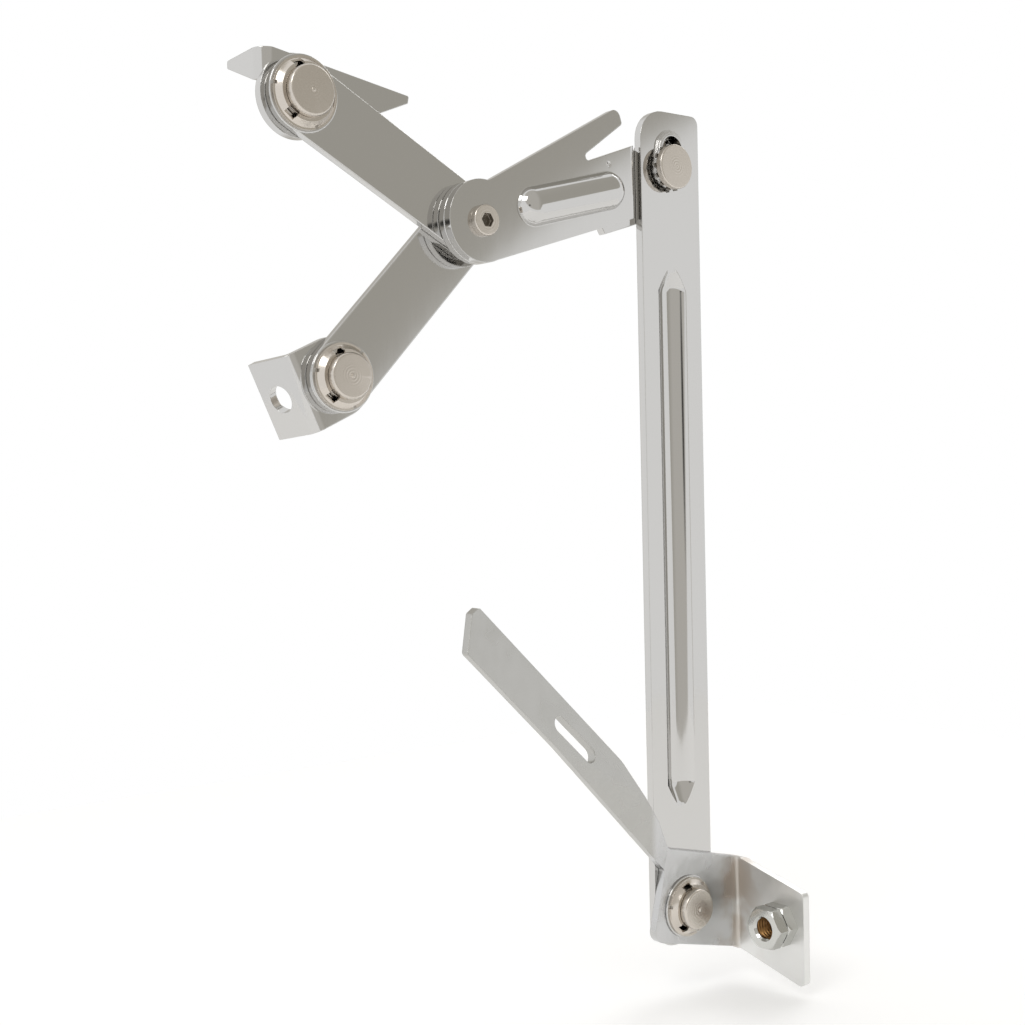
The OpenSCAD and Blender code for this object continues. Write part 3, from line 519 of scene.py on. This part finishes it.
class HOOD_OT_nuts(bpy.types.Operator):
    """Dress both nuts and cut the weld nut's thread"""

    bl_idname = "hood.nuts"
    bl_label = "Nuts"

    def execute(self, context):
        sizes = context.scene.hood_support.fasteners
        zinc = bright_plating("Bright zinc on turned steel", sizes.zinc, sizes.zinc_blur, wave=0.04,
                              edge=0.0002)
        copy_of_solid("centre_nut_plated", "centre_nut", zinc)
        nut = copy_of_solid("weld_nut_plated", "weld_nut", zinc)
        nut.data.materials.append(oiled_thread("Oiled steel thread", sizes.thread_tint))
        self.cut_thread(nut.data, sizes)
        return {"FINISHED"}

    def cut_thread(self, mesh, sizes):
        """Swaps the plain bore for a helical groove. The nut's axis is the X axis through the origin."""
        shape = bmesh.new()
        shape.from_mesh(mesh)
        wall = [face for face in shape.faces if self.is_bore(face)]
        bmesh.ops.delete(shape, geom=wall, context="FACES")
        rim = [edge for edge in shape.edges if edge.is_boundary]
        middle = sum(edge.verts[0].co.x for edge in rim) / len(rim)
        ring = [edge for edge in rim if edge.verts[0].co.x < middle]
        far_rim = [edge for edge in rim if edge.verts[0].co.x > middle]
        start = ring[0].verts[0].co.x
        length = far_rim[0].verts[0].co.x - start
        rings = round(length / (sizes.thread_pitch / RINGS_PER_TURN))
        thread = []
        for step in range(1, rings):
            made = bmesh.ops.extrude_edge_only(shape, edges=ring)["geom"]
            ring = [part for part in made if isinstance(part, bmesh.types.BMEdge)]
            thread += [part for part in made if isinstance(part, bmesh.types.BMFace)]
            verts = [part for part in made if isinstance(part, bmesh.types.BMVert)]
            bmesh.ops.translate(shape, verts=verts, vec=(length / rings, 0.0, 0.0))
            fade = min(1.0, step / RUN_OUT_RINGS, (rings - step) / RUN_OUT_RINGS)
            for vert in verts:
                angle = math.atan2(vert.co.z, vert.co.y)
                turn = (vert.co.x / sizes.thread_pitch - angle / (2 * math.pi)) % 1.0
                deep = BORE_RADIUS + fade * sizes.thread_depth * (1 - abs(2 * turn - 1))
                vert.co.yz = deep * math.cos(angle), deep * math.sin(angle)
        ring = [edge for edge in ring if edge.is_boundary]
        thread += bmesh.ops.bridge_loops(shape, edges=ring + far_rim)["faces"]
        for face in thread:
            face.material_index = 1
            face.smooth = True
        bmesh.ops.recalc_face_normals(shape, faces=shape.faces)
        shape.to_mesh(mesh)
        shape.free()

    def is_bore(self, face):
        """True for a face of the bore's wall."""
        away = math.hypot(*face.calc_center_median().yz)
        return abs(face.normal.x) < 0.2 and away < BORE_RADIUS * 1.02


class HOOD_OT_studio(bpy.types.Operator):
    """Set up the camera, the floor, the lamps and the room"""

    bl_idname = "hood.studio"
    bl_label = "Studio"

    def execute(self, context):
        studio = context.scene.hood_support.studio
        scene = context.scene
        self.place_camera(scene, studio)
        self.lay_floor(scene, studio)
        self.light_room(scene, studio)
        self.hang_lamps(scene)
        scene.view_settings.view_transform = "Standard"
        return {"FINISHED"}

    def place_camera(self, scene, studio):
        """Aims the camera from its azimuth, elevation and roll."""
        camera = bpy.data.cameras.new("Camera")
        camera.sensor_width = 36.0
        camera.lens = studio.lens
        camera.clip_start = 0.01
        camera.clip_end = 100.0
        held = bpy.data.objects.new("Camera", camera)
        scene.collection.objects.link(held)
        side = studio.azimuth
        level = math.cos(studio.elevation)
        back = Vector((math.sin(side) * level, -math.cos(side) * level, math.sin(studio.elevation)))
        level_right = Vector((math.cos(side), math.sin(side), 0.0))
        level_up = back.cross(level_right)
        turn = Matrix.Rotation(studio.roll, 3, back)
        right = turn @ level_right
        up = turn @ level_up
        matrix = Matrix((right, up, back)).transposed().to_4x4()
        matrix.translation = BASE_PIVOT + Vector(studio.camera_place)
        held.matrix_world = matrix
        scene.camera = held

    def lay_floor(self, scene, studio):
        """White paper under the part. Its glow reaches the camera and mirrors, not the part's light."""
        shape = bmesh.new()
        bmesh.ops.create_grid(shape, x_segments=1, y_segments=1, size=studio.floor_size / 2)
        low = cad_box[0].z - studio.floor_gap
        bmesh.ops.translate(shape, verts=shape.verts, vec=(0.0, 0.0, low))
        mesh = bpy.data.meshes.new("Floor")
        shape.to_mesh(mesh)
        shape.free()
        floor = bpy.data.objects.new("Floor", mesh)
        scene.collection.objects.link(floor)
        made = bpy.data.materials.new("Floor paper")
        made.use_nodes = True
        tree = made.node_tree
        tree.nodes.clear()
        paper = node(tree, "ShaderNodeBsdfDiffuse", in_Color=srgb(studio.paper))
        glow = node(tree, "ShaderNodeEmission", in_Color=srgb("#FFFFFF"), in_Strength=studio.floor_glow)
        seen = node(tree, "ShaderNodeAddShader", {0: paper.outputs[0], 1: glow.outputs[0]})
        path = node(tree, "ShaderNodeLightPath").outputs
        mirror = node(tree, "ShaderNodeMath", {0: path["Is Glossy Ray"], 1: path["Is Transmission Ray"]},
                      operation="MAXIMUM")
        direct = node(tree, "ShaderNodeMath", {0: path["Is Camera Ray"], 1: mirror.outputs[0]},
                      operation="MAXIMUM")
        mixed = node(tree, "ShaderNodeMixShader",
                     {0: direct.outputs[0], 1: paper.outputs[0], 2: seen.outputs[0]})
        node(tree, "ShaderNodeOutputMaterial", {"Surface": mixed.outputs[0]})
        mesh.materials.append(made)

    def light_room(self, scene, studio):
        """White where the camera looks past the part. The plating mirrors a bright room with two dim
        walls and the camera's stand."""
        world = bpy.data.worlds.new("Studio room")
        scene.world = world
        world.use_nodes = True
        tree = world.node_tree
        tree.nodes.clear()
        direction = node(tree, "ShaderNodeTexCoord").outputs["Generated"]
        wall_mask = self.cap(tree, direction, DIM_WALL, studio.wall_half_angle)
        panel_mask = self.cap(tree, direction, LIT_PANEL, studio.panel_half_angle)
        open_wall = node(tree, "ShaderNodeMath", {1: panel_mask}, operation="SUBTRACT", in_0=1.0)
        dim = node(tree, "ShaderNodeMath", {0: wall_mask, 1: open_wall.outputs[0]}, operation="MULTIPLY")
        sideways = node(tree, "ShaderNodeSeparateXYZ", {"Vector": direction})
        depth = node(tree, "ShaderNodeMapRange", {"Value": sideways.outputs["X"]},
                     in_From_Min=DARK_END_X[0], in_From_Max=DARK_END_X[1])
        shade = node(tree, "ShaderNodeMix", {"Factor": depth.outputs[0]}, data_type="RGBA",
                     in_6=srgb(studio.room_dim), in_7=srgb(studio.room_dark))
        room = node(tree, "ShaderNodeMix", {"Factor": dim.outputs[0], 7: shade.outputs[2]},
                    data_type="RGBA", in_6=srgb(studio.room_light))
        behind = self.cap(tree, direction, BACK_PATCH, studio.back_half_angle)
        room = node(tree, "ShaderNodeMix", {"Factor": behind, 6: room.outputs[2]}, data_type="RGBA",
                    in_7=srgb(studio.room_dim))
        stand = self.cap(tree, direction, CAMERA_STAND, studio.stand_half_angle)
        room = node(tree, "ShaderNodeMix", {"Factor": stand, 6: room.outputs[2]}, data_type="RGBA",
                    in_7=srgb(studio.stand))
        wall = node(tree, "ShaderNodeBackground", {"Color": room.outputs[2]}, in_Strength=1.0)
        white = node(tree, "ShaderNodeBackground", in_Color=srgb("#FFFFFF"), in_Strength=1.0)
        path = node(tree, "ShaderNodeLightPath")
        mixed = node(tree, "ShaderNodeMixShader",
                     {0: path.outputs["Is Camera Ray"], 1: wall.outputs[0], 2: white.outputs[0]})
        node(tree, "ShaderNodeOutputWorld", {"Surface": mixed.outputs[0]})

    def cap(self, tree, direction, place, half_angle):
        """One where the direction lies within a round part of the room."""
        centre, soft = place
        facing = node(tree, "ShaderNodeVectorMath", {0: direction}, operation="DOT_PRODUCT", in_1=centre)
        edge = math.cos(half_angle)
        return node(tree, "ShaderNodeMapRange", {"Value": facing.outputs["Value"]},
                    interpolation_type="SMOOTHSTEP",
                    in_From_Min=edge - soft, in_From_Max=edge + soft).outputs[0]

    def hang_lamps(self, scene):
        """Hangs the lamps, aimed at the part's middle."""
        middle = (cad_box[0] + cad_box[1]) / 2
        for name, offset, size, power in LAMPS:
            lamp = bpy.data.lights.new(name, "AREA")
            lamp.size = size
            lamp.energy = power
            held = bpy.data.objects.new(name, lamp)
            scene.collection.objects.link(held)
            held.location = middle + Vector(offset)
            held.rotation_euler = (-Vector(offset)).to_track_quat("-Z", "Y").to_euler()


class HOOD_PT_panel(bpy.types.Panel):
    """Lists the steps in order"""

    bl_label = "Hood Support"
    bl_idname = "HOOD_PT_panel"
    bl_space_type = "VIEW_3D"
    bl_region_type = "UI"
    bl_category = "Hood Support"

    def draw(self, context):
        for step in STEPS:
            self.layout.operator(step.bl_idname)
        settings = context.scene.hood_support
        for group in (settings.studio, settings.plates, settings.fasteners):
            box = self.layout.box()
            for name in group.__annotations__:
                box.prop(group, name)


STEPS = (
    HOOD_OT_studio,
    HOOD_OT_plates,
    HOOD_OT_base,
    HOOD_OT_pins,
    HOOD_OT_clips,
    HOOD_OT_nuts,
)
CLASSES = (StudioSettings, PlateSettings, FastenerSettings, HoodSupportSettings, *STEPS, HOOD_PT_panel)


def register():
    """Makes the settings, the steps and the panel known to Blender."""
    for each in CLASSES:
        bpy.utils.register_class(each)
    bpy.types.Scene.hood_support = PointerProperty(type=HoodSupportSettings)


def unregister():
    """Takes them away again."""
    del bpy.types.Scene.hood_support
    for each in reversed(CLASSES):
        bpy.utils.unregister_class(each)


def main():
    """Runs every step in order."""
    register()
    for step in STEPS:
        group, name = step.bl_idname.split(".")
        getattr(getattr(bpy.ops, group), name)()


if __name__ == "__main__":
    main()
